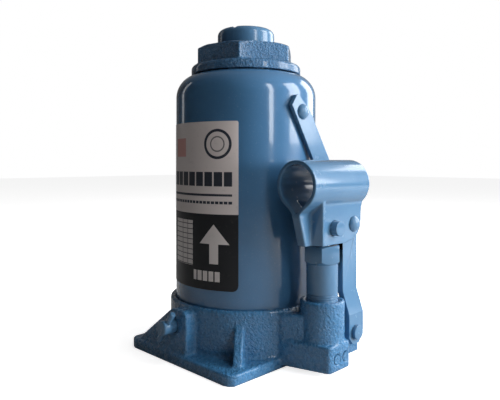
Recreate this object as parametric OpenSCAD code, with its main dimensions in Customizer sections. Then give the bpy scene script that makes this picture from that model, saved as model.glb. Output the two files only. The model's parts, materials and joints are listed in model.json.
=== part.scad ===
// Hydraulic bottle jack with a screw extension and a hand pump at its side.
// Origin: ram axis on the underside of the base. +Z up, +X towards the pump,
// -Y towards the release valve and the mouth of the handle socket.

/* [Overall] */
// Height from the floor to the saddle with everything wound down
closed_h = 230; // [215:1:276]
// Outside radius of the oil tank tube
tube_r = 51; // [42.5:0.5:61.2]
// Wall of the tank tube
tube_wall = 2.5; // [1.5:0.1:4]
// How far the screw can be wound out of the ram
screw_rise = 70; // [40:1:84]

/* [Base casting] */
// Plate edge beside the pump, from the ram axis, past the tank radius
plate_right_extra = 2; // [0:0.5:8]
// Plate edge away from the pump, past the tank radius
plate_left_extra = 3; // [0:0.5:8]
// Plate edge at the valve side and at the back, past the tank radius
plate_front_extra = 14; // [10:0.5:20]
// Thickness of the plate
plate_h = 7; // [5:0.5:8]
// Corner radius of the plate
plate_corner_r = 7; // [3:0.5:12]
// Wall of the collar that holds the tank tube
collar_wall = 3.85; // [3:0.05:6]
// Top of the collar above the floor
collar_h = 37.7; // [35:0.1:45]
// Floor of the oil tank above the ground
tank_floor_z = 28; // [27.5:0.5:29]
// Floor under the pressure cylinder
cylinder_seat_z = 16; // [15:0.5:18]
// Thickness of the stiffening ribs
rib_w = 6; // [4:0.5:9]

/* [Cylinder and ram] */
// Bore radius of the pressure cylinder
bore_r = 24; // [22:0.5:26]
// Wall of the pressure cylinder
cylinder_wall = 6; // [5:0.5:7]
// Radius of the polished ram
ram_r = 21.9; // [18:0.1:22]
// Length of the piston shoulder on the ram
piston_h = 14; // [8:0.5:18]

/* [Gland nut] */
// Width across the flats of the hexagon
nut_af = 64.6; // [60:0.2:72]
// Height of the hexagon
nut_hex_h = 12.8; // [8:0.2:14]
// Radius of the round flange
nut_flange_r = 40; // [38:0.5:42.5]
// Height of the round flange
nut_flange_h = 6.8; // [5:0.2:9]
// Radius of the rounded shoulder of the tank
shoulder_r = 17; // [14:0.5:18]

/* [Extension screw] */
// Outside radius of the screw thread
screw_r = 16; // [12:0.5:16]
// Pitch of the screw thread
screw_pitch = 4; // [3:0.5:5]
// Depth of the screw thread
thread_depth = 1.4; // [0.8:0.1:1.8]
// Radius of the screw head that lifts the load
saddle_r = 20.8; // [19:0.1:21.5]
// Height of the screw head
saddle_h = 16.3; // [12:0.1:20]

/* [Pump] */
// Outside radius of the pump barrel
barrel_r = 10.25; // [9.5:0.05:12.3]
// Top of the pump barrel above the floor
barrel_top_z = 80; // [76:0.5:80]
// Width across the flats at the top of the barrel
barrel_af = 22; // [21:0.5:23]
// Height of the flats
barrel_flats_h = 12; // [8:0.5:14]
// Radius of the pump plunger
plunger_r = 6; // [5:0.1:6.5]
// Wall of the casting around the pump barrel
pump_boss_wall = 4.25; // [3.5:0.05:6]
// Top of the casting around the pump barrel
pump_boss_h = 44.7; // [42:0.1:50]
// Gap between the floor and the underside of the pump housing
pump_lift = 2.5; // [1:0.5:4]

/* [Handle socket] */
// Radius of the bore for the pumping handle
socket_r = 13.1; // [11:0.1:15.7]
// Thickness of the pressed sheet
socket_sheet = 2.6; // [2:0.1:3.2]
// Height of the socket axis above the fulcrum
socket_rise = 26.6; // [26:0.1:32]
// Mouth of the socket in front of the pump axis
socket_front = 26.4; // [24:0.2:32]
// Back end of the socket behind the pump axis
socket_back = 31.6; // [30:0.2:38]
// Gap between the two ears
ear_gap = 15.2; // [14.4:0.1:18]
// Radius of the pin that drives the plunger
plunger_pin_r = 4.7; // [4:0.1:5]
// Upward swing of the handle in degrees
handle_swing = 35; // [20:1:35]

/* [Fulcrum links] */
// Distance from the pump axis to the fulcrum
fulcrum_y = 21; // [20:0.5:23]
// Height of the fulcrum
fulcrum_z = 92.4; // [92:0.1:98]
// Height of the plunger pin below the fulcrum
pin_drop = 1.1; // [0:0.1:2]
// Thickness of the flat links
link_t = 3; // [2.5:0.1:3.2]
// Thickness of the outer link
outer_link_t = 4.2; // [3:0.1:4.4]
// Width of the outer link
link_w = 14.4; // [12:0.2:14.4]
// Radius of the fulcrum rivet and the lug pin
link_pin_r = 4; // [3:0.1:4.5]
// Height of the lug pin
lug_pin_z = 21.3; // [20:0.1:25]
// Outward step of the outer link above its lug
link_step = 5.2; // [4:0.1:5.4]
// Height of the rivet that ties the strap to the tank
strap_rivet_z = 167; // [158:0.5:172]

/* [Release valve] */
// Place of the valve axis across the jack
valve_x = -6; // [-10:0.1:-4]
// Height of the valve axis
valve_z = 24.4; // [22:0.1:25.5]
// Thread radius of the release screw
valve_r = 4.8; // [4:0.1:5.2]
// Length of the cross bar
tee_length = 26; // [20:0.5:34]
// Tilt of the cross bar in degrees
tee_tilt = 54; // [0:1:90]

/* [Label] */
// Lower edge of the label
label_z0 = 49.3; // [45:0.1:60]
// Upper edge of the label
label_z1 = 160; // [120:0.5:162]
// Angle that the label covers
label_angle = 120; // [60:1:140]

/* [Fits] */
// Radial gap of a running fit
running_gap = 0.08; // [0.05:0.01:0.1]
// Radial gap between parts that do not move on each other
seat_gap = 0.1; // [0.05:0.01:0.15]
// Side gap between parts that swing past each other
side_gap = 0.4; // [0.3:0.05:0.6]

/* [Hidden] */
$fn = 64;

blue = "#3f74a0";
cast_blue = "#35658f";
oil_steel = "#8d9298";
rubber = "#26282a";
copper = "#b87346";
eps = 0.05;

// Levels of the main stack
nut_top_z = closed_h - saddle_h + 2.5;
flange_top_z = nut_top_z - nut_hex_h;
tube_top_z = flange_top_z - nut_flange_h;
gasket_t = 1.2;
copper_t = 1;
tube_bottom_z = tank_floor_z + gasket_t;
shoulder_z = tube_top_z - shoulder_r;
tube_inner_r = tube_r - tube_wall;
collar_r = tube_r + seat_gap + collar_wall;
mouth_r = nut_flange_r - 4.8;

// Pressure cylinder and gland
cylinder_r = bore_r + cylinder_wall;
cylinder_thread_r = cylinder_r - 1;
cylinder_bottom_z = cylinder_seat_z + copper_t;
cylinder_top_z = tube_top_z - seat_gap;
gland_skirt_r = mouth_r - 0.4;
gland_skirt_h = 13;
nut_gasket_r = mouth_r + 1.2;
nut_gasket_wire = 0.85;

// Ram and the pieces on its foot
ram_foot_z = cylinder_seat_z + 2;
piston_nut_h = 4.5;
piston_washer_h = 2;
cup_h = 8;
spigot_r = 9;
washer_z = ram_foot_z + piston_nut_h;
cup_z = washer_z + piston_washer_h;
piston_z = cup_z + cup_h;
piston_top_z = piston_z + piston_h;
ram_top_z = closed_h - saddle_h - seat_gap;
ram_bore_z = piston_top_z + 6;

// Extension screw
screw_top_z = closed_h - saddle_h;
screw_end_z = screw_top_z - screw_rise - 64;
stop_ring_h = 5.8;
stop_cap_h = 4;
stop_ring_z = screw_end_z - stop_ring_h - 0.1;
stop_spigot_r = screw_r - 4;
relief_r = screw_r + 1;
ram_thread_z = screw_end_z + screw_rise - 0.1;

// Pump, socket and links, all lined up from the tank wall outwards
strap_x0 = tube_r + 0.3;
strap_x1 = strap_x0 + link_t;
socket_outer_r = socket_r + socket_sheet;
pump_x = strap_x1 + side_gap + socket_outer_r - 0.1;
ear_half = ear_gap / 2;
ear_outer = ear_half + socket_sheet;
socket_z = fulcrum_z + socket_rise;
ear_bottom_z = barrel_top_z + 0.8;
pinch_half = 3.2;
flare_y0 = -12;
flare_y1 = -15;
pin_z = fulcrum_z - pin_drop;
link_top_x1 = pump_x + ear_half - 1.1;
link_top_x0 = link_top_x1 - outer_link_t;
link_low_x0 = link_top_x0 + link_step;
link_low_x1 = link_low_x0 + outer_link_t;
lug_x1 = link_low_x0 - 0.2;
lug_x0 = lug_x1 - 14;
boss_r = barrel_r + pump_boss_wall;
nose_x = pump_x + boss_r + 0.6;
barrel_bottom_z = 14;
chamber_r = 5;
packing_r = plunger_r + 2.6;
packing_z = barrel_top_z - barrel_flats_h - 4;

// Plunger eye: the slot takes the sideways arc of the pin
pin_arm = norm([fulcrum_y, pin_drop]);
arm_tilt = atan2(pin_drop, fulcrum_y);
pin_shift = pin_arm * (cos(arm_tilt) - cos(handle_swing - arm_tilt));
eye_half_t = 5.5;
eye_wall = 2.6;
eye_slot_r = plunger_pin_r + 0.35;
eye_r = eye_slot_r + eye_wall;

// Drilled passages of the base
channel_z = 10;
channel_r = 3;
passage_r = 1.4;
ball_r = 2.5;
delivery_y = -4;
suction_y = 5.2;
plug_l = 5;
suction_seat_x = pump_x - 11;
suction_rise_x = tube_inner_r - 6.5;
delivery_seat_x0 = pump_x - 15;
delivery_seat_l = 5;
delivery_ball_x = delivery_seat_x0 - sqrt(pow(ball_r, 2) - pow(passage_r, 2));
delivery_end_x = delivery_ball_x - ball_r - 9;
overload_x = -(cylinder_r + tube_inner_r) / 2;
overload_r = 4;
overload_seat_z = 15;
overload_ball_z = overload_seat_z + sqrt(pow(ball_r, 2) - pow(passage_r, 2));
overload_screw_h = 4;

// Release valve
boss_face_y = -(tube_r + plate_front_extra - 2.5);
valve_seat_y = boss_face_y + 20;
valve_ball_r = 3.2;
valve_ball_y = valve_seat_y - sqrt(pow(valve_ball_r, 2) - pow(passage_r, 2));
valve_tip_y = valve_ball_y - valve_ball_r;
valve_head_y = boss_face_y - 9.7;
tee_r = 2;
tee_y = boss_face_y - 5.7;

// Filler plug at the back of the tank
filler_z = 150;
filler_turn = 120;
filler_r = 5;

// ---------- shapes that repeat ----------

// Ring between two radii and two heights
module ring(outer, inner, z0, z1) {
    translate([0, 0, z0]) difference() {
        cylinder(r = outer, h = z1 - z0);
        translate([0, 0, -1]) cylinder(r = inner, h = z1 - z0 + 2);
    }
}

// Cylinder between two heights
module rod(r, z0, z1) translate([0, 0, z0]) cylinder(r = r, h = z1 - z0);

// Cylinder along X between two places
module rod_x(r, x0, x1, y, z) translate([x0, y, z]) rotate([0, 90, 0]) cylinder(r = r, h = x1 - x0);

// Cylinder along Y between two places
module rod_y(r, y0, y1, x, z) translate([x, y1, z]) rotate([90, 0, 0]) cylinder(r = r, h = y1 - y0);

// Drilled hole from point p to point q
module drill(p, q, r) {
    d = q - p;
    flat = norm([d[0], d[1]]);
    translate(p) rotate([0, atan2(flat, d[2]), atan2(d[1], d[0])]) cylinder(r = r, h = norm(d), $fn = 32);
}

// Upright prism of a rectangle with round corners
module round_slab(x0, x1, y0, y1, r, z0, z1) {
    translate([0, 0, z0]) linear_extrude(z1 - z0) {
        translate([x0 + r, y0]) square([x1 - x0 - 2 * r, y1 - y0]);
        translate([x0, y0 + r]) square([x1 - x0, y1 - y0 - 2 * r]);
        for (x = [x0 + r, x1 - r], y = [y0 + r, y1 - r]) translate([x, y]) circle(r);
    }
}

// Upright hexagonal prism
module hex(af, z0, z1) translate([0, 0, z0]) cylinder(r = af / sqrt(3), h = z1 - z0, $fn = 6);

// Flat outline in the YZ plane made into a plate from x0 to x1
module plate_x(x0, x1) translate([x0, 0, 0]) rotate([90, 0, 90]) linear_extrude(x1 - x0) children();

// Flat outline in the XZ plane made into a bar from y0 to y1
module bar_y(y0, y1) translate([0, y1, 0]) rotate([90, 0, 0]) linear_extrude(y1 - y0) children();

// Points along the middle of a closed coil spring
function coil(r, h, turns, steps) = [for (i = [0 : steps])
    [r * cos(360 * turns * i / steps), r * sin(360 * turns * i / steps), h * i / steps]];

// Round wire swept along a coil that stands on the XY plane
module spring(r, wire_r, h, turns) {
    sides = 8;
    steps = turns * 14;
    path = coil(r, h - 2 * wire_r, turns, steps);
    pts = [for (i = [0 : steps]) let (a = 360 * turns * i / steps) for (k = [0 : sides - 1])
        let (b = 360 * k / sides)
        [path[i][0] + wire_r * cos(b) * cos(a), path[i][1] + wire_r * cos(b) * sin(a),
            path[i][2] + wire_r + wire_r * sin(b)]];
    walls = [for (i = [0 : steps - 1], k = [0 : sides - 1]) let (m = (k + 1) % sides)
        each [[i * sides + k, i * sides + m, (i + 1) * sides + k],
            [i * sides + m, (i + 1) * sides + m, (i + 1) * sides + k]]];
    start = [for (k = [1 : sides - 2]) [0, k + 1, k]];
    last = steps * sides;
    end = [for (k = [1 : sides - 2]) [last, last + k, last + k + 1]];
    polyhedron(concat(pts), concat(walls, start, end));
}

// ---------- base casting ----------

module base_plate() {
    round_slab(-tube_r - plate_left_extra, tube_r + plate_right_extra,
        -tube_r - plate_front_extra, tube_r + plate_front_extra, plate_corner_r, 0, plate_h);
}

// Collar and the solid core under the tank, with an eased lip
module collar() {
    lip = collar_wall * 0.4;
    inner = collar_r - collar_wall;
    rotate_extrude($fn = 96) polygon([[0, 0], [collar_r, 0], [collar_r, collar_h - lip],
        [collar_r - lip * 0.3, collar_h - lip * 0.3], [collar_r - lip, collar_h],
        [inner + lip * 0.5, collar_h], [inner, collar_h - lip * 0.5], [inner, tank_floor_z], [0, tank_floor_z]]);
}

// Rib that slopes from the collar to one corner of the plate
module corner_rib(turn) {
    foot = collar_r + 15;
    rotate([0, 0, turn]) translate([0, rib_w / 2, 0]) rotate([90, 0, 0]) linear_extrude(rib_w)
        polygon([[collar_r - 6, 1], [foot + 0.6, 1], [foot + 0.6, plate_h - 1], [foot - 1.5, plate_h + 3],
            [collar_r + 3, 25], [collar_r + 1, 27.5], [collar_r - 6, 28]]);
}

// Wall in front of the collar that carries the release valve
module valve_boss() {
    bar_y(boss_face_y, -tube_r * 0.72)
        polygon([[8, 1], [8, 31], [7, 34], [4, 35.5], [-7, 35.5], [-10, 34], [-41, 11],
            [-45, plate_h], [-45, 1]]);
}

// Housing of the pump, with the nose that the passages are drilled into
module pump_housing() {
    translate([pump_x, 0, 0]) rod(boss_r, pump_lift, pump_boss_h);
    translate([0, 0, pump_lift]) linear_extrude(19 - pump_lift)
        polygon([[tube_r - 6, -22], [tube_r + 3, -20.6], [nose_x - 4, -13], [nose_x - 1, -12], [nose_x, -10],
            [nose_x, 8.3], [nose_x - 1.2, 9.8], [nose_x - 7, 12.4], [tube_r - 6, 22]]);
    translate([0, 0, 18]) linear_extrude(collar_h - 20)
        polygon([[tube_r - 6, -22], [tube_r + 3, -20.6], [pump_x - 4, -14.4], [pump_x - 4, 13.6],
            [tube_r - 6, 17]]);
}

// Lug that holds the foot of the outer link
module link_lug() {
    rod_x(8.5, lug_x0, lug_x1, fulcrum_y, lug_pin_z);
    translate([lug_x0, fulcrum_y - 12, lug_pin_z - 15.6])
        cube([lug_x1 - lug_x0, 21, 11.6]);
    translate([lug_x0 - 14, 8, pump_lift])
        cube([lug_x1 - lug_x0 + 2, fulcrum_y - 3, lug_pin_z - 7 - pump_lift]);
}

module base_casting() color(cast_blue) difference() {
    union() {
        base_plate();
        collar();
        corner_rib(-49);
        corner_rib(49);
        corner_rib(131);
        valve_boss();
        pump_housing();
        link_lug();
    }
    rod(collar_r - collar_wall, tank_floor_z, collar_h + 1);
    rod(cylinder_r + seat_gap, cylinder_seat_z, tank_floor_z + 1);
    // hole of the lug pin and the seat of its head
    rod_x(link_pin_r + seat_gap, lug_x0 - 4, lug_x1 + 1, fulcrum_y, lug_pin_z);
    rod_x(link_pin_r + 1.8, lug_x0 - 4.5, lug_x0 + 0.1, fulcrum_y, lug_pin_z);
    // room for the outer link beside the pump
    translate([link_low_x0 - 0.15, fulcrum_y - link_w / 2 - 0.4, lug_pin_z - link_w / 2 - 1.2])
        cube([12, link_w + 6, pump_boss_h]);
    // pump well
    translate([pump_x, 0, 0]) rod(barrel_r + seat_gap, barrel_bottom_z - copper_t, pump_boss_h + 1);
    translate([pump_x, 0, 0]) rod(chamber_r, channel_z - 2, barrel_bottom_z);
    // delivery passage, from the nose to the cylinder
    rod_x(channel_r, delivery_end_x, nose_x + 1, delivery_y, channel_z);
    rod_x(passage_r, 14, delivery_end_x + 1, delivery_y, channel_z);
    translate([15, delivery_y, 0]) rod(passage_r, channel_z, cylinder_seat_z + 1);
    // suction passage, from the tank to the pump
    rod_x(channel_r, suction_seat_x, nose_x + 1, suction_y, channel_z);
    rod_x(passage_r, suction_rise_x, suction_seat_x + 1, suction_y, channel_z);
    translate([suction_rise_x, suction_y, 0]) rod(passage_r, channel_z, tank_floor_z + 1);
    // overload passage
    translate([overload_x, 0, 0]) rod(overload_r, overload_seat_z, tank_floor_z + 1);
    translate([overload_x, 0, 0]) rod(passage_r, channel_z - 1, overload_seat_z + 1);
    rod_x(passage_r, overload_x, -14, 0, channel_z - 1);
    translate([-15, 0, 0]) rod(passage_r, channel_z - 1, cylinder_seat_z + 1);
    // release valve hole and its passages to the cylinder and to the tank
    rod_y(valve_r + running_gap, boss_face_y - 1, valve_seat_y, valve_x, valve_z);
    rod_y(passage_r, valve_seat_y - 1, valve_seat_y + 3, valve_x, valve_z);
    drill([valve_x, valve_seat_y + 2, valve_z], [valve_x, -18, 8], passage_r);
    translate([valve_x, -18, 0]) rod(passage_r + 0.4, 6.5, cylinder_seat_z + 1);
    translate([valve_x, valve_seat_y - 2, 0]) rod(passage_r, valve_z, tank_floor_z + 1);
}

// ---------- tank and cylinder ----------

module reservoir_tube() color(blue) difference() {
    union() {
        rotate_extrude($fn = 128) difference() {
            union() {
                translate([0, tube_bottom_z]) square([tube_r, shoulder_z - tube_bottom_z]);
                intersection() {
                    translate([tube_r - shoulder_r, shoulder_z]) circle(shoulder_r);
                    translate([0, shoulder_z - 1]) square([tube_r, shoulder_r + 1]);
                }
                translate([0, shoulder_z - 1]) square([tube_r - shoulder_r, shoulder_r + 1]);
            }
            translate([-1, tube_bottom_z - 1]) square([tube_inner_r + 1, shoulder_z - tube_bottom_z + 1]);
            intersection() {
                translate([tube_r - shoulder_r, shoulder_z]) circle(shoulder_r - tube_wall);
                translate([-1, shoulder_z - 1]) square([tube_r + 1, shoulder_r + 1]);
            }
            translate([-1, shoulder_z - 1]) square([tube_r - shoulder_r + 1, shoulder_r - tube_wall + 1]);
            translate([-1, shoulder_z]) square([mouth_r + 1, shoulder_r + 1]);
        }
        rod_x(7, tube_r - 2, strap_x0, 0, strap_rivet_z);
    }
    rod_x(3 + seat_gap, tube_r - 6, strap_x0 + 1, 0, strap_rivet_z);
    rotate([0, 0, filler_turn]) rod_x(filler_r, tube_r - 6, tube_r + 6, 0, filler_z);
}

module pressure_cylinder() color(oil_steel) difference() {
    union() {
        rod(cylinder_r, cylinder_bottom_z, tube_top_z - gland_skirt_h - 1);
        rod(cylinder_thread_r, cylinder_bottom_z, cylinder_top_z);
    }
    rod(bore_r, cylinder_bottom_z - 1, cylinder_top_z + 1);
}

// Corner chamfer of a hexagon, as the space between two cones
module hex_chamfer(af, z0, z1, cut) {
    corner = af / sqrt(3) + 0.2;
    translate([0, 0, z0]) cylinder(r = corner, h = z1 - z0 - cut);
    translate([0, 0, z1 - cut]) cylinder(r1 = corner, r2 = corner - cut * 1.9, h = cut);
}

module gland_nut() color(cast_blue) difference() {
    union() {
        rotate([0, 0, 8]) intersection() {
            hex(nut_af, flange_top_z - 1, nut_top_z);
            hex_chamfer(nut_af, flange_top_z - 1, nut_top_z, 2.2);
        }
        rotate_extrude($fn = 96) {
            round_r = 3.2;
            translate([0, tube_top_z]) square([nut_flange_r, nut_flange_h - round_r]);
            translate([0, tube_top_z]) square([nut_flange_r - round_r, nut_flange_h]);
            translate([nut_flange_r - round_r, flange_top_z - round_r]) circle(round_r);
        }
        rod(gland_skirt_r, tube_top_z - gland_skirt_h, tube_top_z + 1);
    }
    rod(cylinder_thread_r + seat_gap, tube_top_z - gland_skirt_h - 1, tube_top_z);
    rod(ram_r + running_gap, tube_top_z - 1, nut_top_z + 1);
    rod(ram_r + 3.2, nut_top_z - 8, nut_top_z - 2);
    ring(nut_gasket_r + 1, nut_gasket_r - 1, tube_top_z - 1, tube_top_z + 2 * nut_gasket_wire + 0.1);
}

module reservoir_gasket() color(rubber) ring(tube_r, tube_inner_r - 1, tank_floor_z, tube_bottom_z);

module nut_gasket() color(rubber) rotate_extrude($fn = 96)
    translate([nut_gasket_r, tube_top_z + nut_gasket_wire + 0.04]) circle(nut_gasket_wire, $fn = 24);

module cylinder_gasket() color(copper) ring(cylinder_r, bore_r, cylinder_seat_z, cylinder_bottom_z);

module ram_seal() color(rubber) ring(ram_r + 3.1, ram_r + running_gap, nut_top_z - 8, nut_top_z - 2.05);

// ---------- ram ----------

module ram() color("#b9bdc2") difference() {
    union() {
        rod(spigot_r, ram_foot_z, piston_z + 1);
        rod(bore_r - 0.15, piston_z, piston_top_z);
        rod(ram_r, piston_z, ram_top_z);
    }
    rod(relief_r, ram_bore_z, ram_thread_z);
    rod(screw_r + running_gap, ram_thread_z - 1, ram_top_z + 1);
}

module piston_cup_seal() color("#c8b48a") difference() {
    ring(bore_r - 0.05, spigot_r + 0.05, cup_z, piston_z);
    translate([0, 0, cup_z - 1]) rotate_extrude() translate([(bore_r + spigot_r) / 2, 0])
        square([bore_r - spigot_r - 8, 6], center = true);
}

module piston_washer() color(oil_steel) ring(bore_r - 3, spigot_r + 0.1, washer_z, cup_z);

module piston_nut() color(oil_steel) difference() {
    hex(28, ram_foot_z, washer_z);
    rod(spigot_r + 0.05, ram_foot_z - 1, washer_z + 1);
}

// ---------- extension screw ----------

module extension_screw() color(blue) {
    turns = floor((screw_top_z - 6 - screw_end_z) / screw_pitch);
    difference() {
        rotate_extrude($fn = 96) {
            edge = 4.6;
            translate([0, screw_top_z]) square([saddle_r, saddle_h - edge]);
            translate([0, screw_top_z]) square([saddle_r - edge, saddle_h]);
            translate([saddle_r - edge, closed_h - edge]) circle(edge);
        }
        for (a = [0, 90]) rotate([0, 0, a + 20]) translate([0, saddle_r + 1, closed_h]) rotate([90, 0, 0])
            linear_extrude(2 * saddle_r + 2) polygon([[-3.4, 1], [-2.4, 0], [0, -2.4], [2.4, 0], [3.4, 1]]);
    }
    rotate_extrude() polygon(concat(
        [[0, screw_top_z + 1], [screw_r - thread_depth, screw_top_z + 1],
            [screw_r - thread_depth, screw_top_z - 4]],
        [for (i = [0 : turns - 1]) let (z = screw_top_z - 5 - i * screw_pitch)
            each [[screw_r, z - screw_pitch * 0.2], [screw_r, z - screw_pitch * 0.45],
                [screw_r - thread_depth, z - screw_pitch * 0.75],
                [screw_r - thread_depth, z - screw_pitch * 0.9]]],
        [[screw_r - thread_depth, screw_end_z], [stop_spigot_r, screw_end_z],
            [stop_spigot_r, stop_ring_z - 0.1], [stop_spigot_r + 1.6, stop_ring_z - 0.1],
            [stop_spigot_r + 1.6, stop_ring_z - stop_cap_h + 1],
            [stop_spigot_r + 0.6, stop_ring_z - stop_cap_h], [0, stop_ring_z - stop_cap_h]]));
}

module screw_stop_ring() color(oil_steel) difference() {
    ring(relief_r - running_gap, stop_spigot_r + running_gap, stop_ring_z, stop_ring_z + stop_ring_h);
    translate([-1, -relief_r - 1, stop_ring_z - 1]) cube([2, relief_r, stop_ring_h + 2]);
}

// ---------- pump ----------

module pump_barrel() color(blue) translate([pump_x, 0, 0]) difference() {
    corner = barrel_af / sqrt(3);
    flats_z = barrel_top_z - barrel_flats_h;
    union() {
        difference() {
            rod(barrel_r, barrel_bottom_z, flats_z + 1);
            for (i = [0 : 2]) let (z = pump_boss_h + 0.6 + 1.5 * i) ring(barrel_r + 1, barrel_r - 0.5, z, z + 0.7);
        }
        rotate([0, 0, 7]) intersection() {
            hex(barrel_af, flats_z, barrel_top_z);
            union() {
                translate([0, 0, flats_z]) cylinder(r1 = barrel_r, r2 = corner + 0.3, h = 2.6);
                rod(corner + 0.3, flats_z + 2.6, barrel_top_z - 1.6);
                translate([0, 0, barrel_top_z - 1.6])
                    cylinder(r1 = corner + 0.3, r2 = barrel_af / 2 - 0.4, h = 1.6);
            }
        }
    }
    rod(plunger_r + running_gap, barrel_bottom_z - 1, barrel_top_z + 1);
    rod(packing_r, packing_z, barrel_top_z + 1);
}

module barrel_gasket() color(copper) translate([pump_x, 0, 0])
    ring(barrel_r, plunger_r + 0.5, barrel_bottom_z - copper_t, barrel_bottom_z);

module plunger_packing() color("#c8b48a") translate([pump_x, 0, 0])
    ring(packing_r - 0.05, plunger_r + running_gap, packing_z, packing_z + 8);

module plunger_wiper() color(rubber) translate([pump_x, 0, 0])
    ring(packing_r - 0.05, plunger_r + running_gap, barrel_top_z - 6, barrel_top_z - 0.5);

module pump_plunger() color("#b9bdc2") difference() {
    union() {
        translate([pump_x, 0, 0]) rod(plunger_r, barrel_bottom_z + 4, pin_z - 4);
        plate_x(pump_x - eye_half_t, pump_x + eye_half_t) {
            for (y = [0, pin_shift]) translate([y, pin_z]) circle(eye_r);
            translate([0, pin_z - eye_r]) square([pin_shift, 2 * eye_r]);
        }
    }
    plate_x(pump_x - eye_half_t - 1, pump_x + eye_half_t + 1) {
        for (y = [0, pin_shift]) translate([y, pin_z]) circle(eye_slot_r);
        translate([0, pin_z - eye_slot_r]) square([pin_shift, 2 * eye_slot_r]);
    }
}

// ---------- handle socket ----------

// Section of the socket: a round tube that runs down into two ears
module socket_section(r, half, bottom) {
    // the flank leaves the circle at this angle below the horizontal and meets the ear
    lean = 38;
    circle(r, $fn = 96);
    polygon([[r * cos(lean), -r * sin(lean)], [half, -r * sin(lean) - (r * cos(lean) - half) * 0.9],
        [half, bottom], [-half, bottom], [-half, -r * sin(lean) - (r * cos(lean) - half) * 0.9],
        [-r * cos(lean), -r * sin(lean)]]);
}

// Section of the flank alone, for the sloping stretch between the ears
module flank_section(r, half, bottom) {
    lean = 38;
    polygon([[r * cos(lean), -r * sin(lean)], [half, -r * sin(lean) - (r * cos(lean) - half) * 0.9],
        [half, bottom], [-half, bottom], [-half, -r * sin(lean) - (r * cos(lean) - half) * 0.9],
        [-r * cos(lean), -r * sin(lean)]]);
}

// Pointed foot of the bore where the two ears are pressed together
module mouth_foot() {
    wide = socket_r * 0.64;
    high = -socket_r * 0.76;
    tip = 0.3;
    polygon([[-wide, high], [wide, high],
        [tip, high - (wide - tip) * 0.94], [-tip, high - (wide - tip) * 0.94]]);
}

module socket_stretch(y0, y1) translate([pump_x, 0, socket_z]) bar_y(y0, y1) children();

module handle_socket() color(blue) {
    bottom = ear_bottom_z - socket_z;
    deep = bottom - 5;
    difference() {
        intersection() {
            union() {
                socket_stretch(-socket_front, flare_y1) socket_section(socket_outer_r, pinch_half, bottom);
                socket_stretch(flare_y1 - eps, flare_y0 + eps) circle(socket_outer_r, $fn = 96);
                hull() {
                    socket_stretch(flare_y1 - eps, flare_y1) flank_section(socket_outer_r, pinch_half, bottom);
                    socket_stretch(flare_y0, flare_y0 + eps) flank_section(socket_outer_r, ear_outer, bottom);
                }
                socket_stretch(flare_y0, socket_back) socket_section(socket_outer_r, ear_outer, bottom);
            }
            // side outline of the whole pressing
            plate_x(pump_x - socket_outer_r - 1, pump_x + socket_outer_r + 1)
                polygon([[-socket_front, socket_z + socket_outer_r + 1], [-socket_front, socket_z - 20],
                    [-socket_front + 5.5, ear_bottom_z], [12, ear_bottom_z], [20, ear_bottom_z + 1.4],
                    [25.5, ear_bottom_z + 4.6], [28.6, ear_bottom_z + 9], [29.4, ear_bottom_z + 14],
                    [29.8, socket_z - socket_outer_r - 1], [socket_back, socket_z - socket_outer_r + 4],
                    [socket_back, socket_z + socket_outer_r + 1]]);
        }
        // bore for the handle
        translate([pump_x, 0, socket_z]) rod_y(socket_r, -socket_front - 1, socket_back + 1, 0, 0);
        // pointed foot of the bore at the mouth
        socket_stretch(-socket_front - 1, flare_y1 + 0.1) mouth_foot();
        hull() {
            socket_stretch(flare_y1, flare_y1 + eps) mouth_foot();
            socket_stretch(flare_y0, flare_y0 + eps) polygon([[-ear_half, -socket_r * 0.7],
                [ear_half, -socket_r * 0.7], [ear_half, deep], [-ear_half, deep]]);
        }
        // space between the ears
        translate([pump_x - ear_half, flare_y0, socket_z + deep])
            cube([ear_gap, socket_back - flare_y0 + 1, -deep - socket_r * 0.7]);
        rod_x(plunger_pin_r + seat_gap, pump_x - 20, pump_x + 20, 0, pin_z);
        rod_x(link_pin_r + running_gap, pump_x - 20, pump_x + 20, fulcrum_y, fulcrum_z);
    }
}

module plunger_pin() color(blue) difference() {
    rod_x(plunger_pin_r, pump_x - ear_outer - 2.6, pump_x + ear_outer + 4.6, 0, pin_z);
    translate([pump_x - ear_outer - 1.6, 0, pin_z]) rotate([0, 90, 0])
        ring(plunger_pin_r + 1, plunger_pin_r - 0.7, 0, 0.9);
}

module pin_clip() color(oil_steel)
translate([pump_x - ear_outer - 1.55, 0, pin_z]) rotate([0, 90, 0]) difference() {
    ring(plunger_pin_r + 1.4, plunger_pin_r - 0.65, 0, 0.8);
    translate([-1.5, -plunger_pin_r - 2, -1]) cube([3, plunger_pin_r + 1, 3]);
}

// ---------- fulcrum links ----------

// Round rivet head on a shank that points along +X
module dome(r, h, x, y, z, turn) translate([x, y, z]) rotate([0, turn, 0]) intersection() {
    ball = (r * r + h * h) / (2 * h);
    translate([0, 0, h - ball]) sphere(ball);
    cylinder(r = r + 1, h = h + 1);
}

module fulcrum_rivet() color(blue) {
    x_out = pump_x + ear_outer + 0.25;
    rod_x(link_pin_r, strap_x0, x_out, fulcrum_y, fulcrum_z);
    rod_x(link_pin_r + 2.4, strap_x1 + 0.05, pump_x - ear_outer - 0.25, fulcrum_y, fulcrum_z);
    dome(link_pin_r + 1.4, 3.2, x_out, fulcrum_y, fulcrum_z, 90);
    dome(link_pin_r + 2, 2.6, strap_x0, fulcrum_y, fulcrum_z, -90);
}

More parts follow.
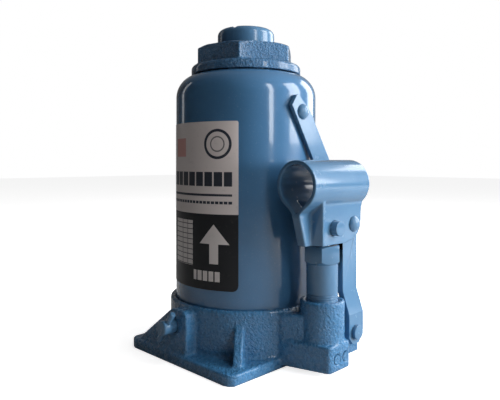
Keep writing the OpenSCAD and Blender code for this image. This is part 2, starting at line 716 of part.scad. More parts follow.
module outer_link() color(blue) difference() {
    step_z0 = 33;
    step_z1 = 47.7;
    w = link_w / 2;
    intersection() {
        // bent section seen from the front
        bar_y(fulcrum_y - w - 3, fulcrum_y + w + 3) polygon([[link_low_x0, 0], [link_low_x0, step_z0],
            [link_top_x0, step_z1], [link_top_x0, fulcrum_z + w + 1], [link_top_x1, fulcrum_z + w + 1],
            [link_top_x1, step_z1 + 0.6], [link_low_x1, step_z0 + 0.6], [link_low_x1, 0]]);
        // outline seen from the side
        plate_x(link_top_x0 - 1, link_low_x1 + 1) {
            translate([fulcrum_y, fulcrum_z]) circle(w + 0.3);
            polygon([[fulcrum_y - w, fulcrum_z], [fulcrum_y + w, fulcrum_z], [fulcrum_y + w + 1.4, fulcrum_z - 6],
                [fulcrum_y + w + 1.4, lug_pin_z], [fulcrum_y + 4, lug_pin_z - w - 0.5],
                [fulcrum_y - 3, lug_pin_z - w - 0.5], [fulcrum_y - w, lug_pin_z - 3]]);
        }
    }
    rod_x(link_pin_r + seat_gap, link_top_x0 - 1, link_low_x1 + 1, fulcrum_y, fulcrum_z);
    rod_x(link_pin_r + seat_gap, link_top_x0 - 1, link_low_x1 + 1, fulcrum_y, lug_pin_z);
}

// Strap from the fulcrum up to the tank, cranked towards the rivet
module inner_strap() color(blue) difference() {
    w = 9.2;
    knee_z = 134;
    plate_x(strap_x0, strap_x1) {
        translate([fulcrum_y, fulcrum_z]) circle(w);
        polygon([[fulcrum_y - w, fulcrum_z], [fulcrum_y + w, fulcrum_z], [fulcrum_y + w, knee_z],
            [8.5, strap_rivet_z + 0.5], [-4.2, strap_rivet_z + 11.2], [-6, strap_rivet_z + 11],
            [-11, strap_rivet_z + 4], [fulcrum_y - w, knee_z]]);
    }
    rod_x(link_pin_r + seat_gap, strap_x0 - 1, strap_x1 + 1, fulcrum_y, fulcrum_z);
    rod_x(3 + seat_gap, strap_x0 - 1, strap_x1 + 1, 0, strap_rivet_z);
}

module lug_pin() color(blue) {
    rod_x(link_pin_r, lug_x0 - 2, link_low_x1 + 1, fulcrum_y, lug_pin_z);
    rod_x(link_pin_r + 0.7, link_low_x1 + 0.1, link_low_x1 + 2.6, fulcrum_y, lug_pin_z);
    rod_x(link_pin_r + 1.4, lug_x0 - 3.6, lug_x0, fulcrum_y, lug_pin_z);
}

module strap_rivet() color(blue) {
    rod_x(3, tube_r - 3.5, strap_x1 + 0.3, 0, strap_rivet_z);
    dome(5.4, 3.4, strap_x1 + 0.02, 0, strap_rivet_z, 90);
}

// ---------- release valve ----------

module release_screw() color(blue) difference() {
    // turned profile: head, groove of the seal, thread and tip, from the head inwards
    length = valve_tip_y - valve_head_y - 0.05;
    seal_y = boss_face_y + 1.2 - valve_head_y;
    thread_y = seal_y + 4;
    groove = 0.45;
    translate([valve_x, valve_head_y, valve_z]) rotate([-90, 0, 0]) rotate_extrude() polygon(concat(
        [[0, 0], [valve_r - 0.6, 0], [valve_r, 0.6], [valve_r, seal_y], [valve_r - 1.2, seal_y],
            [valve_r - 1.2, seal_y + 1.9], [valve_r, seal_y + 1.9]],
        [for (i = [0 : 3]) let (y = thread_y + 1.4 * i)
            each [[valve_r, y], [valve_r - groove, y + 0.25],
                [valve_r - groove, y + 0.45], [valve_r, y + 0.7]]],
        [[valve_r, length - 3], [valve_r - 2, length - 2], [valve_r - 2, length], [0, length]]));
    translate([valve_x, tee_y, valve_z]) rotate([0, 90 - tee_tilt, 0])
        translate([0, 0, -valve_r - 1]) cylinder(r = tee_r + 0.02, h = 2 * valve_r + 2);
}

module tee_bar() color(blue) translate([valve_x, tee_y, valve_z]) rotate([0, 90 - tee_tilt, 0])
    translate([0, 0, -tee_length / 2]) {
        cylinder(r1 = tee_r - 0.6, r2 = tee_r, h = 0.6);
        translate([0, 0, 0.6]) cylinder(r = tee_r, h = tee_length - 1.2);
        translate([0, 0, tee_length - 0.6]) cylinder(r1 = tee_r, r2 = tee_r - 0.6, h = 0.6);
    }

module release_seal() color(rubber)
translate([valve_x, boss_face_y + 1.2 + 0.95, valve_z]) rotate([90, 0, 0])
    rotate_extrude() translate([valve_r - 0.56, 0]) circle(0.6, $fn = 24);

module release_ball() color(oil_steel) translate([valve_x, valve_ball_y - 0.02, valve_z]) sphere(valve_ball_r - 0.02);

// ---------- valves in the base ----------

module suction_ball() color(oil_steel)
translate([suction_seat_x + sqrt(pow(ball_r, 2) - pow(passage_r, 2)) + 0.02, suction_y, channel_z])
    sphere(ball_r);

module delivery_ball() color(oil_steel)
translate([delivery_ball_x - 0.02, delivery_y, channel_z]) sphere(ball_r);

module delivery_spring() color(oil_steel)
translate([delivery_end_x + 0.05, delivery_y, channel_z]) rotate([0, 90, 0])
    spring(1.9, 0.35, delivery_ball_x - ball_r - delivery_end_x + 0.35, 5);

module delivery_seat() color(oil_steel) difference() {
    rod_x(channel_r - 0.03, delivery_seat_x0, delivery_seat_x0 + delivery_seat_l, delivery_y, channel_z);
    rod_x(passage_r, delivery_seat_x0 - 1, delivery_seat_x0 + delivery_seat_l + 1, delivery_y, channel_z);
}

module channel_plugs() color(cast_blue) for (y = [delivery_y, suction_y])
    rod_x(channel_r - 0.03, nose_x - plug_l, nose_x - 0.1, y, channel_z);

module overload_ball() color(oil_steel) translate([overload_x, 0, overload_ball_z + 0.02]) sphere(ball_r);

module overload_spring() color(oil_steel) translate([overload_x, 0, overload_ball_z + ball_r - 0.35])
    spring(1.9, 0.4, tank_floor_z - overload_screw_h - 0.05 - overload_ball_z - ball_r + 0.35, 4);

module overload_screw() color(oil_steel) difference() {
    translate([overload_x, 0, 0]) rod(overload_r - 0.05, tank_floor_z - overload_screw_h, tank_floor_z);
    translate([overload_x - 5, -0.6, tank_floor_z - 1.2]) cube([10, 1.2, 2]);
}

module suction_strainer() color("#c9a557") translate([suction_rise_x, suction_y, tank_floor_z]) difference() {
    cylinder(r = 5, h = 3);
    translate([0, 0, -0.5]) cylinder(r = 4.2, h = 2.9);
    for (x = [-2.4 : 1.6 : 2.4], y = [-2.4 : 1.6 : 2.4])
        translate([x, y, 1]) cylinder(r = 0.5, h = 3, $fn = 16);
}

module filler_plug() color(rubber) rotate([0, 0, filler_turn]) {
    rod_x(filler_r - 0.05, tube_inner_r - 2.6, tube_r + 0.6, 0, filler_z);
    rod_x(filler_r + 2.2, tube_r + 0.5, tube_r + 2.6, 0, filler_z);
    rod_x(filler_r - 1, tube_r + 2.5, tube_r + 3.6, 0, filler_z);
}

module label() color("#ddd6cc")
rotate([0, 0, -50 - label_angle]) rotate_extrude(angle = label_angle, $fn = 128)
    translate([tube_r + 0.02, label_z0]) square([0.2, label_z1 - label_z0]);

base_casting();
reservoir_tube();
pressure_cylinder();
gland_nut();
reservoir_gasket();
nut_gasket();
cylinder_gasket();
ram_seal();
ram();
piston_cup_seal();
piston_washer();
piston_nut();
extension_screw();
screw_stop_ring();
pump_barrel();
barrel_gasket();
pump_plunger();
plunger_packing();
plunger_wiper();
handle_socket();
plunger_pin();
pin_clip();
fulcrum_rivet();
outer_link();
inner_strap();
lug_pin();
strap_rivet();
release_screw();
tee_bar();
release_seal();
release_ball();
suction_ball();
delivery_ball();
delivery_spring();
delivery_seat();
channel_plugs();
overload_ball();
overload_spring();
overload_screw();
suction_strainer();
filler_plug();
label();
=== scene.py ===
import json
import math
import bpy
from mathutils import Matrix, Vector


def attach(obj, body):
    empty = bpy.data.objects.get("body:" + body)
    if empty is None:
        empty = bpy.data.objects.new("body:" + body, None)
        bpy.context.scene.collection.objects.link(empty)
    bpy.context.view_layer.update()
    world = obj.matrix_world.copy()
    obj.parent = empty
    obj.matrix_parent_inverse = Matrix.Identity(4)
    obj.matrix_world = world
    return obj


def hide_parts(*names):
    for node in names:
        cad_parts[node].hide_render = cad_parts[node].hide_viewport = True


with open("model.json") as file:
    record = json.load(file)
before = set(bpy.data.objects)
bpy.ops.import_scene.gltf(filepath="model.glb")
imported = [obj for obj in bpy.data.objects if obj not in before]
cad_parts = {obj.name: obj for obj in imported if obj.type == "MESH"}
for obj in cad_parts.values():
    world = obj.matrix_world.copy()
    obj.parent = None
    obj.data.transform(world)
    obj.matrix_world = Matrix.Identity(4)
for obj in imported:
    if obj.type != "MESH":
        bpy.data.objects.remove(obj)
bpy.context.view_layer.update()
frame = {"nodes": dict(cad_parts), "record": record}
nodes = frame["nodes"]
mm = 0.001
print("frame loaded:", len(nodes), "nodes")


# selection, modifiers and finishing, used by every piece

def nothingSelected():
    if bpy.context.object and bpy.context.object.mode != "OBJECT":
        bpy.ops.object.mode_set(mode="OBJECT")
    bpy.ops.object.select_all(action="DESELECT")


def onlySelect(piece):
    nothingSelected()
    piece.select_set(True)
    bpy.context.view_layer.objects.active = piece


def editAll(piece, kind="VERT"):
    onlySelect(piece)
    bpy.ops.object.mode_set(mode="EDIT")
    bpy.ops.mesh.select_mode(type=kind)
    bpy.ops.mesh.select_all(action="SELECT")


def backToObject():
    bpy.ops.object.mode_set(mode="OBJECT")


def selectWhere(piece, test, kind="FACE"):
    # leaves edit mode to mark the parts that pass the test, then goes back in
    backToObject()
    mesh = piece.data
    for group in (mesh.vertices, mesh.edges, mesh.polygons):
        group.foreach_set("select", [False] * len(group))
    if kind == "FACE":
        for face in mesh.polygons:
            face.select = test(face.center, face.normal)
    if kind == "VERT":
        for vert in mesh.vertices:
            vert.select = test(vert.co)
    if kind == "EDGE":
        for edge in mesh.edges:
            a, b = (mesh.vertices[k].co for k in edge.vertices)
            edge.select = test(a, b)
    bpy.ops.object.mode_set(mode="EDIT")
    bpy.ops.mesh.select_mode(type=kind)


def placeInMesh(piece):
    onlySelect(piece)
    bpy.ops.object.transform_apply(location=True, rotation=True, scale=True)


def applyModifier(piece, kind, **settings):
    onlySelect(piece)
    modifier = piece.modifiers.new(kind.title(), kind)
    for key, value in settings.items():
        setattr(modifier, key, value)
    bpy.ops.object.modifier_apply(modifier=modifier.name)


def smoothShade(piece, angle):
    onlySelect(piece)
    bpy.ops.object.shade_smooth_by_angle(angle=math.radians(angle))


def facesOutwards(piece, merge=0.002):
    editAll(piece)
    bpy.ops.mesh.remove_doubles(threshold=merge * mm)
    bpy.ops.mesh.normals_make_consistent(inside=False)
    backToObject()


def settle(piece, name, body, finish, slotName, *replaced):
    piece.name = name
    piece.data.name = name
    piece.data.materials.clear()
    piece.data.materials.append(finish)
    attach(piece, body)
    if replaced:
        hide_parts(*replaced)


def turnedShell(profile, steps, centre=(0, 0)):
    # a circle drawn out and resized through the points (radius, height) of a closed profile
    cx, cy = centre[0] * mm, centre[1] * mm
    radius, height = profile[0]
    nothingSelected()
    bpy.ops.mesh.primitive_circle_add(vertices=steps, radius=radius * mm, location=(cx, cy, height * mm))
    piece = bpy.context.object
    editAll(piece)
    for nextRadius, nextHeight in profile[1:]:
        bpy.ops.mesh.extrude_edges_move(TRANSFORM_OT_translate={"value": (0, 0, (nextHeight - height) * mm)})
        share = nextRadius / radius
        bpy.ops.transform.resize(value=(share, share, 1), center_override=(cx, cy, nextHeight * mm))
        radius, height = nextRadius, nextHeight
    backToObject()
    placeInMesh(piece)
    facesOutwards(piece)
    return piece


def arc(centreR, centreZ, radius, start, end, steps):
    turns = [math.radians(start + (end - start) * k / steps) for k in range(steps + 1)]
    return [(centreR + radius * math.cos(t), centreZ + radius * math.sin(t)) for t in turns]


def mergedCopy(nodeName):
    piece = nodes[nodeName].copy()
    piece.data = nodes[nodeName].data.copy()
    piece.parent = None
    for key in list(piece.keys()):
        del piece[key]
    bpy.context.scene.collection.objects.link(piece)
    editAll(piece)
    bpy.ops.mesh.remove_doubles(threshold=0.002 * mm)
    backToObject()
    return piece


def easedCopy(nodeName, width=0.4, segments=2, limit=32, flat=1.5, smooth=32):
    # the node's own shape with its sharp edges rounded
    piece = mergedCopy(nodeName)
    editAll(piece)
    bpy.ops.mesh.dissolve_limited(angle_limit=math.radians(flat))
    backToObject()
    applyModifier(piece, "BEVEL", width=width * mm, segments=segments, limit_method="ANGLE",
                  angle_limit=math.radians(limit), use_clamp_overlap=True, miter_outer="MITER_ARC")
    smoothShade(piece, smooth)
    return piece


def castCopy(nodeName, voxel, softening, passes):
    # the node's shape as it leaves a sand mould: every edge soft
    piece = mergedCopy(nodeName)
    applyModifier(piece, "REMESH", mode="VOXEL", voxel_size=voxel * mm, adaptivity=0)
    applyModifier(piece, "SMOOTH", factor=softening, iterations=passes)
    smoothShade(piece, 60)
    return piece


# finishes

def newFinish(name):
    finish = bpy.data.materials.new(name)
    finish.use_nodes = True
    tree = finish.node_tree
    return finish, tree, tree.nodes["Principled BSDF"]


def addNode(tree, kind, inputs=None, **settings):
    node = tree.nodes.new(kind)
    for key, value in settings.items():
        setattr(node, key, value)
    for key, value in (inputs or {}).items():
        if isinstance(value, bpy.types.NodeSocket):
            tree.links.new(value, node.inputs[key])
        else:
            node.inputs[key].default_value = value
    return node


def colour(r, g, b):
    return (r, g, b, 1)


def noiseOf(tree, vector, scale, detail=3, roughness=0.5, distortion=0):
    return addNode(tree, "ShaderNodeTexNoise", {"Vector": vector, "Scale": scale, "Detail": detail,
                   "Roughness": roughness, "Distortion": distortion}).outputs["Fac"]


def rangeOf(tree, value, low, high, toLow, toHigh):
    return addNode(tree, "ShaderNodeMapRange", {"Value": value, "From Min": low, "From Max": high,
                   "To Min": toLow, "To Max": toHigh}).outputs["Result"]


def mathOf(tree, operation, a, b=0.0):
    return addNode(tree, "ShaderNodeMath", {0: a, 1: b}, operation=operation).outputs[0]


def mixOf(tree, share, a, b):
    node = addNode(tree, "ShaderNodeMix", {"Factor": share}, data_type="RGBA")
    for socket, value in ((node.inputs[6], a), (node.inputs[7], b)):
        if isinstance(value, bpy.types.NodeSocket):
            tree.links.new(value, socket)
        else:
            socket.default_value = value
    return node.outputs[2]


def paint(name, look):
    # enamel over steel or cast iron: colour that drifts a little, paler specks in the colour that on the
    # castings and gland nut are bright blue painted glints, and a relief
    finish, tree, shader = newFinish(name)
    place = addNode(tree, "ShaderNodeTexCoord").outputs["Object"]
    drift = noiseOf(tree, place, look["driftScale"], 4, 0.6)
    base = mixOf(tree, rangeOf(tree, drift, 0.3, 0.7, 0, 1), look["deep"], look["pale"])
    # paler specks mixed into the base colour; the bright blue ones of the castings and gland nut are painted
    # glints
    speckAndGlintNoise = noiseOf(tree, place, look["speckAndGlintScale"], 2, 0.6)
    base = mixOf(tree, rangeOf(tree, speckAndGlintNoise, 0.62, 0.76, 0, look["speckAndGlintShare"]), base, look["speckAndGlint"])
    tree.links.new(base, shader.inputs["Base Color"])
    gloss = noiseOf(tree, place, look["glossScale"], 3, 0.6)
    tree.links.new(rangeOf(tree, gloss, 0.3, 0.7, *look["roughness"]), shader.inputs["Roughness"])
    shader.inputs["Coat Weight"].default_value = look["coat"]
    shader.inputs["Coat Roughness"].default_value = look["coatRoughness"]
    shader.inputs["Specular IOR Level"].default_value = look["specular"]
    grain = None
    for scale, detail, height in look["relief"]:
        layer = mathOf(tree, "MULTIPLY", noiseOf(tree, place, scale, detail, 0.55), height)
        grain = layer if grain is None else mathOf(tree, "ADD", grain, layer)
    bump = addNode(tree, "ShaderNodeBump", {"Height": grain, "Strength": 1.0, "Distance": mm})
    tree.links.new(bump.outputs["Normal"], shader.inputs["Normal"])
    return finish


def metal(name, look):
    finish, tree, shader = newFinish(name)
    place = addNode(tree, "ShaderNodeTexCoord").outputs["Object"]
    stretched = addNode(tree, "ShaderNodeMapping",
                        {"Vector": place, "Scale": look["stretch"]}).outputs["Vector"]
    marks = noiseOf(tree, stretched, look["markScale"], 4, 0.6)
    base = mixOf(tree, rangeOf(tree, marks, 0.3, 0.7, 0, 1), look["deep"], look["pale"])
    tree.links.new(base, shader.inputs["Base Color"])
    tree.links.new(rangeOf(tree, marks, 0.3, 0.7, *look["roughness"]), shader.inputs["Roughness"])
    shader.inputs["Metallic"].default_value = look["metallic"]
    bump = addNode(tree, "ShaderNodeBump",
                   {"Height": marks, "Strength": 1.0, "Distance": look["relief"] * mm})
    tree.links.new(bump.outputs["Normal"], shader.inputs["Normal"])
    return finish


tankPaint = paint("tank_enamel", {
    "deep": colour(0.05, 0.145, 0.28), "pale": colour(0.06, 0.165, 0.315), "driftScale": 28,
    "speckAndGlint": colour(0.3, 0.42, 0.52), "speckAndGlintScale": 900, "speckAndGlintShare": 0.12,
    "roughness": (0.14, 0.2), "glossScale": 90, "coat": 0.7, "coatRoughness": 0.05, "specular": 0.5,
    "relief": [(260, 2, 0.018), (900, 2, 0.006)]})
sheetPaint = paint("pressing_enamel", {
    "deep": colour(0.066, 0.168, 0.3), "pale": colour(0.08, 0.19, 0.33), "driftScale": 45,
    "speckAndGlint": colour(0.3, 0.42, 0.52), "speckAndGlintScale": 1100, "speckAndGlintShare": 0.05,
    "roughness": (0.2, 0.28), "glossScale": 120, "coat": 0.6, "coatRoughness": 0.08, "specular": 0.5,
    "relief": [(150, 2, 0.05), (900, 2, 0.006)]})
# bright blue specks: painted glints of the casting's sparkle
castPaint = paint("casting_enamel", {
    "deep": colour(0.035, 0.15, 0.31), "pale": colour(0.055, 0.2, 0.4), "driftScale": 60,
    "speckAndGlint": colour(0.3, 0.55, 0.78), "speckAndGlintScale": 900, "speckAndGlintShare": 0.45,
    "roughness": (0.22, 0.32), "glossScale": 260, "coat": 0.7, "coatRoughness": 0.1, "specular": 0.5,
    "relief": [(560, 2, 1.25), (1300, 2, 0.5), (90, 2, 0.35)]})
# bright blue specks: painted glints of the nut's sparkle
nutPaint = paint("gland_nut_enamel", {
    "deep": colour(0.038, 0.125, 0.25), "pale": colour(0.054, 0.16, 0.31), "driftScale": 60,
    "speckAndGlint": colour(0.3, 0.46, 0.6), "speckAndGlintScale": 1500, "speckAndGlintShare": 0.35,
    "roughness": (0.2, 0.3), "glossScale": 260, "coat": 0.7, "coatRoughness": 0.09, "specular": 0.5,
    "relief": [(620, 3, 1.3), (1500, 3, 0.5)]})
chrome = metal("ram_chrome", {
    "deep": colour(0.55, 0.56, 0.58), "pale": colour(0.7, 0.71, 0.72), "stretch": (1, 1, 8), "markScale": 120,
    "roughness": (0.08, 0.18), "metallic": 1.0, "relief": 0.004})
oiledSteel = metal("oiled_steel", {
    "deep": colour(0.22, 0.23, 0.25), "pale": colour(0.42, 0.43, 0.45), "stretch": (1, 1, 1),
    "markScale": 260, "roughness": (0.25, 0.45), "metallic": 1.0, "relief": 0.02})
copper = metal("copper_washer", {
    "deep": colour(0.55, 0.24, 0.12), "pale": colour(0.72, 0.36, 0.2), "stretch": (1, 1, 1), "markScale": 200,
    "roughness": (0.25, 0.4), "metallic": 1.0, "relief": 0.01})
brass = metal("brass_mesh", {
    "deep": colour(0.5, 0.36, 0.12), "pale": colour(0.68, 0.5, 0.2), "stretch": (1, 1, 1), "markScale": 300,
    "roughness": (0.25, 0.45), "metallic": 1.0, "relief": 0.01})
rubber = metal("black_rubber", {
    "deep": colour(0.012, 0.013, 0.015), "pale": colour(0.022, 0.023, 0.025), "stretch": (1, 1, 1),
    "markScale": 400, "roughness": (0.5, 0.7), "metallic": 0.0, "relief": 0.03})
sealPlastic = metal("seal_plastic", {
    "deep": colour(0.5, 0.4, 0.26), "pale": colour(0.62, 0.52, 0.36), "stretch": (1, 1, 1), "markScale": 150,
    "roughness": (0.35, 0.5), "metallic": 0.0, "relief": 0.01})


def within(tree, value, low, high):
    return addNode(tree, "ShaderNodeMath", {0: value, 1: (low + high) / 2, 2: (high - low) / 2},
                   operation="COMPARE").outputs[0]


# printed film: its marks in millimetres, across from the middle of the label and up from the floor
film = {"radius": 51.02, "sheet": 0.18, "start": -170, "end": -50, "low": 49.3, "high": 160,
        "lowCorner": 4, "highCorner": 1.2, "columns": 720}
inks = {"cream": colour(0.7, 0.63, 0.61), "black": colour(0.012, 0.013, 0.016),
        "dark": colour(0.03, 0.035, 0.05), "pale": colour(0.68, 0.63, 0.61), "red": colour(0.6, 0.3, 0.27),
        "grey": colour(0.16, 0.15, 0.15)}
filmMarks = [
    # ink, left, right, bottom, top, then the pitch of its blocks across and up, and their share filled
    ("black", -60, 60, 40, 99.1), ("dark", -30, 49.3, 117.4, 126.8, 7.2, 0, 0.84),
    ("dark", -45, 49.3, 110.9, 112.4), ("dark", -45, 49.3, 105.8, 107.6, 3.1, 0, 0.8),
    ("red", -4, 11, 137, 149.5), ("dark", -44, -12, 133, 152, 0, 3.2, 0.4),
    ("pale", -4.5, 18.9, 64.1, 94.3, 0, 3.4, 0.86), ("grey", 6.6, 7.2, 64.1, 94.3),
    ("grey", 13, 13.6, 64.1, 94.3),
    ("pale", 33.2, 39.8, 66.5, 80), ("pale", 19.8, 41.9, 55, 61.6, 4.6, 0, 0.78),
    ("pale", -46, -12, 62, 92, 0, 4.2, 0.34),
]
labelFilm, tree, shader = newFinish("label_print")
place = addNode(tree, "ShaderNodeTexCoord").outputs["Object"]
apart = addNode(tree, "ShaderNodeSeparateXYZ", {"Vector": place}).outputs
middle = math.radians((film["start"] + film["end"]) / 2)
around = mathOf(tree, "SUBTRACT", mathOf(tree, "ARCTAN2", apart["Y"], apart["X"]), middle)
across = mathOf(tree, "MULTIPLY", around, film["radius"])
upward = mathOf(tree, "MULTIPLY", apart["Z"], 1 / mm)
printed = inks["cream"]
for ink, left, right, bottom, top, *blocks in filmMarks:
    mask = mathOf(tree, "MULTIPLY", within(tree, across, left, right), within(tree, upward, bottom, top))
    if blocks:
        pitchAcross, pitchUp, fill = blocks
        along, pitch = (across, pitchAcross) if pitchAcross else (upward, pitchUp)
        part = mathOf(tree, "FRACT", mathOf(tree, "DIVIDE", along, pitch))
        mask = mathOf(tree, "MULTIPLY", mask, within(tree, part, 0.5 - fill / 2, 0.5 + fill / 2))
    printed = mixOf(tree, mask, printed, inks[ink])
flat = addNode(tree, "ShaderNodeCombineXYZ", {"X": across, "Y": upward}).outputs["Vector"]
emblem = {"across": 39.1, "up": 145.1, "radius": 9.0, "line": 0.9, "core": 5.2}
spot = addNode(tree, "ShaderNodeVectorMath", {0: flat, 1: (emblem["across"], emblem["up"], 0)},
               operation="DISTANCE").outputs["Value"]
rim = within(tree, spot, emblem["radius"] - emblem["line"], emblem["radius"] + emblem["line"])
printed = mixOf(tree, rim, printed, inks["dark"])
core = within(tree, spot, emblem["core"] - emblem["line"], emblem["core"])
printed = mixOf(tree, core, printed, inks["grey"])
# plain arrow that points up, over its stem
arrow = {"across": 36.5, "foot": 79.5, "tip": 92.5, "spread": 0.85}
offLine = mathOf(tree, "ABSOLUTE", mathOf(tree, "SUBTRACT", across, arrow["across"]))
flank = mathOf(tree, "MULTIPLY", mathOf(tree, "SUBTRACT", arrow["tip"], upward), arrow["spread"])
head = mathOf(tree, "MULTIPLY", mathOf(tree, "LESS_THAN", offLine, flank),
              within(tree, upward, arrow["foot"], arrow["tip"]))
printed = mixOf(tree, head, printed, inks["pale"])
wear = noiseOf(tree, place, 260, 4, 0.65)
printed = mixOf(tree, rangeOf(tree, wear, 0.6, 0.85, 0, 0.25), printed, inks["grey"])
tree.links.new(printed, shader.inputs["Base Color"])
tree.links.new(rangeOf(tree, noiseOf(tree, place, 90), 0.3, 0.7, 0.3, 0.42), shader.inputs["Roughness"])
shader.inputs["Specular IOR Level"].default_value = 0.35
print("finishes made")

# CAD nodes that stay get their finish in their own slots
slotFinish = {"cast_enamel": castPaint, "blue_enamel": sheetPaint, "bare_steel": oiledSteel,
              "polished_rod": chrome, "black_rubber": rubber, "seal_plastic": sealPlastic,
              "copper_washer": copper, "brass_mesh": brass, "label_film": labelFilm}
nodeSlot = {part["node"]: part["material_slot"] for part in frame["record"]["subparts"]}
for nodeName, node in nodes.items():
    node.data.materials.clear()
    node.data.materials.append(slotFinish[nodeSlot[nodeName]])

# camera at the height of the tank's upper third, level, at a corner of the base
camera = {"distance": 403, "turn": 45.0, "height": 134, "aside": 3, "lens": 39.24, "drop": -0.078}
turn = math.radians(camera["turn"])
ahead = Vector((-math.sin(turn), math.cos(turn), 0))
sideways = Vector((math.cos(turn), math.sin(turn), 0))
eye = (-camera["distance"] * ahead + camera["aside"] * sideways + Vector((0, 0, camera["height"]))) * mm
nothingSelected()
bpy.ops.object.camera_add(location=eye, rotation=(math.radians(90), 0, turn))
view = bpy.context.object
view.name = "camera"
view.data.lens = camera["lens"]
view.data.sensor_width = 36
view.data.shift_y = camera["drop"]
view.data.clip_start = 0.01
view.data.clip_end = 20
bpy.context.scene.camera = view

# tank: a drawn tube whose shoulder is rolled in
tank = {"outer": 51.0, "wall": 2.5, "bottom": 29.2, "shoulder": 179.6, "bend": 17.0, "mouth": 35.2,
        "steps": 256}
bendR = tank["outer"] - tank["bend"]
inner = tank["outer"] - tank["wall"]
outerEnd = math.degrees(math.acos((tank["mouth"] - bendR) / tank["bend"]))
innerEnd = math.degrees(math.acos((tank["mouth"] - bendR) / (tank["bend"] - tank["wall"])))
profile = [(inner, tank["bottom"]), (tank["outer"] - 0.4, tank["bottom"]),
           (tank["outer"], tank["bottom"] + 0.4), (tank["outer"], 60), (tank["outer"], 110),
           (tank["outer"], 160)]
profile += arc(bendR, tank["shoulder"], tank["bend"], 0, outerEnd, 28)
profile += arc(bendR, tank["shoulder"], tank["bend"] - tank["wall"], innerEnd, 0, 16)
profile += [profile[0]]
tankShell = turnedShell(profile, tank["steps"])
smoothShade(tankShell, 30)
settle(tankShell, "tank_shell", "jack_body", tankPaint, "blue_enamel", "reservoir_tube")
print("tank made")

# label: a strip of a turned sheet, its corners drawn round, thickened outwards
nothingSelected()
bpy.ops.mesh.primitive_cylinder_add(vertices=film["columns"], radius=film["radius"] * mm,
    depth=(film["high"] - film["low"]) * mm, end_fill_type="NOTHING",
    location=(0, 0, (film["high"] + film["low"]) / 2 * mm))
labelSheet = bpy.context.object
placeInMesh(labelSheet)
editAll(labelSheet)
halfTurn = (film["end"] - film["start"]) / 2
offMiddle = lambda co: abs(math.degrees(math.atan2(co.y, co.x)) - (film["start"] + film["end"]) / 2)
selectWhere(labelSheet, lambda centre, normal: offMiddle(centre) > halfTurn)
bpy.ops.mesh.delete(type="FACE")
columnAngle = 360 / film["columns"]
columnWidth = film["radius"] * math.radians(columnAngle)
for level, sign, corner in ((film["low"], 1, film["lowCorner"]), (film["high"], -1, film["highCorner"])):
    for column in range(int(corner / columnWidth) + 1):
        inward = corner - column * columnWidth
        drop = corner - math.sqrt(corner ** 2 - inward ** 2)
        inColumn = lambda co: abs(offMiddle(co) - halfTurn + column * columnAngle) < columnAngle / 3
        selectWhere(labelSheet, lambda co: inColumn(co) and abs(co.z / mm - level) < 1, "VERT")
        bpy.ops.transform.translate(value=(0, 0, sign * drop * mm))
backToObject()
applyModifier(labelSheet, "SOLIDIFY", thickness=film["sheet"] * mm, offset=1)
facesOutwards(labelSheet)
smoothShade(labelSheet, 30)
settle(labelSheet, "label_sheet", "jack_body", labelFilm, "label_film", "label")
print("label made:", len(labelSheet.data.polygons))

# castings
castBase = castCopy("base_casting", 0.9, 0.5, 3)
settle(castBase, "base_cast", "jack_body", castPaint, "cast_enamel", "base_casting")
castNut = castCopy("gland_nut", 0.6, 0.5, 2)
settle(castNut, "gland_nut_cast", "jack_body", nutPaint, "cast_enamel", "gland_nut")
print("castings made:", len(castBase.data.polygons), len(castNut.data.polygons))

# handle socket: pressed from sheet, so its folds are rounder than cut edges
pressing = castCopy("handle_socket", 0.55, 0.5, 6)
settle(pressing, "socket_pressing", "handle_socket", sheetPaint, "blue_enamel", "handle_socket")
print("pressing made:", len(pressing.data.polygons))

# pieces that keep their CAD outline and get rounded edges
easedPieces = [
    ("extension_screw", "saddle_screw", "extension_screw", sheetPaint, 0.7, 3),
    ("pump_barrel", "pump_barrel_turned", "jack_body", sheetPaint, 0.3, 2),
    ("outer_link", "outer_link_plate", "jack_body", sheetPaint, 0.45, 3),
    ("inner_strap", "inner_strap_plate", "jack_body", sheetPaint, 0.45, 3),
    ("lug_pin", "lug_pin_turned", "jack_body", sheetPaint, 0.5, 3),
    ("strap_rivet", "strap_rivet_set", "jack_body", sheetPaint, 0.3, 2),
    ("fulcrum_rivet", "fulcrum_rivet_set", "jack_body", sheetPaint, 0.3, 2),
    ("release_screw", "release_screw_turned", "release_valve", sheetPaint, 0.2, 2),
    ("tee_bar", "tee_bar_drawn", "release_valve", sheetPaint, 0.2, 2),
    ("plunger_pin", "plunger_pin_turned", "handle_socket", sheetPaint, 0.5, 3),
    ("pump_plunger", "pump_plunger_turned", "plunger", chrome, 0.3, 2),
    ("ram", "ram_turned", "ram", chrome, 0.4, 2),
]
foldAngle = {"outer_link": 12, "inner_strap": 12}
for nodeName, pieceName, body, finish, width, segments in easedPieces:
    piece = easedCopy(nodeName, width, segments, smooth=foldAngle.get(nodeName, 32))
    settle(piece, pieceName, body, finish, nodeSlot[nodeName], nodeName)
print("turned and cut pieces made")

# stage: pale floor, white surround, soft boxes
def plainPlane(name, height, shade, glow):
    nothingSelected()
    bpy.ops.mesh.primitive_plane_add(size=8, location=(0, 0, height * mm))
    plane = bpy.context.object
    plane.name = name
    finish, tree, shader = newFinish(name)
    shader.inputs["Base Color"].default_value = colour(shade, shade, shade)
    shader.inputs["Roughness"].default_value = 0.9
    shader.inputs["Emission Color"].default_value = colour(1, 1, 1)
    shader.inputs["Emission Strength"].default_value = glow
    plane.data.materials.append(finish)
    return plane


stage = {"floorShade": 0.85, "floorGlow": 0.78, "bounceShade": 0.45}
floor = plainPlane("floor", -0.2, stage["floorShade"], stage["floorGlow"])
floor.visible_diffuse = floor.visible_glossy = floor.visible_shadow = False
bounce = plainPlane("floor_bounce", -0.4, stage["bounceShade"], 0)
bounce.visible_camera = False

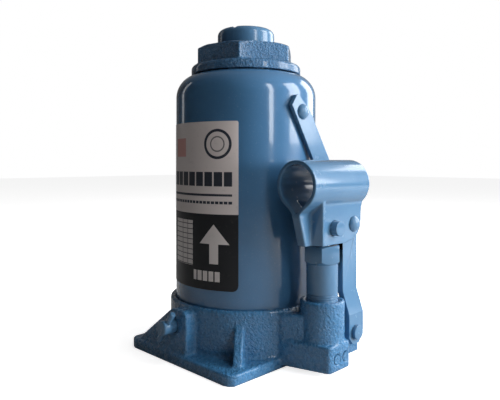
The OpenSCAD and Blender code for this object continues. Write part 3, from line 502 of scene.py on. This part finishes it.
lamps = [
    # name, turn from the view towards the right, distance, height, wide, tall, power, aim height, mirrored
    ("overhead", 75, 0.6, 1.2, 0.8, 0.8, 6, 0.1, False),
    ("tallRight", 40, 1.0, 0.52, 0.13, 0.72, 2.2, 0.16, True),
    ("wideRight", 84, 1.0, 0.52, 0.45, 0.72, 6, 0.16, True),
    ("lowRight", 76, 0.9, 0.2, 0.4, 0.24, 8.5, 0.05, False),
    ("backRight", 128, 1.2, 0.5, 0.5, 0.8, 5, 0.16, True),
    ("leftEdge", -120, 1.1, 0.5, 0.12, 0.7, 0.3, 0.16, True),
]
for name, around, distance, height, wide, tall, power, aim, mirrored in lamps:
    angle = turn - math.pi / 2 + math.radians(around)
    place = Vector((math.cos(angle) * distance, math.sin(angle) * distance, height))
    nothingSelected()
    bpy.ops.object.light_add(type="AREA", location=place)
    lamp = bpy.context.object
    lamp.name = name
    lamp.data.shape = "RECTANGLE"
    lamp.data.size, lamp.data.size_y = wide, tall
    lamp.data.energy = power
    lamp.visible_glossy = mirrored
    lamp.rotation_mode = "QUATERNION"
    lamp.rotation_quaternion = (Vector((0, 0, aim)) - place).to_track_quat("-Z", "Y")

world = bpy.data.worlds.new("studio")
bpy.context.scene.world = world
world.use_nodes = True
sky = world.node_tree
sky.nodes.clear()
toward = addNode(sky, "ShaderNodeTexCoord").outputs["Generated"]
side = Vector((math.cos(turn + math.radians(25)), math.sin(turn + math.radians(25)), 0.25))
along = addNode(sky, "ShaderNodeVectorMath", {0: toward, 1: side}, operation="DOT_PRODUCT").outputs["Value"]
level = rangeOf(sky, along, -0.4, 1, 0.02, 0.3)
ambient = addNode(sky, "ShaderNodeBackground", {"Color": colour(1, 1, 1), "Strength": level})
white = addNode(sky, "ShaderNodeBackground", {"Color": colour(1, 1, 1), "Strength": 1.0})
seen = addNode(sky, "ShaderNodeLightPath").outputs["Is Camera Ray"]
both = addNode(sky, "ShaderNodeMixShader", {0: seen, 1: ambient.outputs[0], 2: white.outputs[0]})
addNode(sky, "ShaderNodeOutputWorld", {"Surface": both.outputs[0]})
bpy.context.scene.view_settings.view_transform = "Standard"
print("stage set")
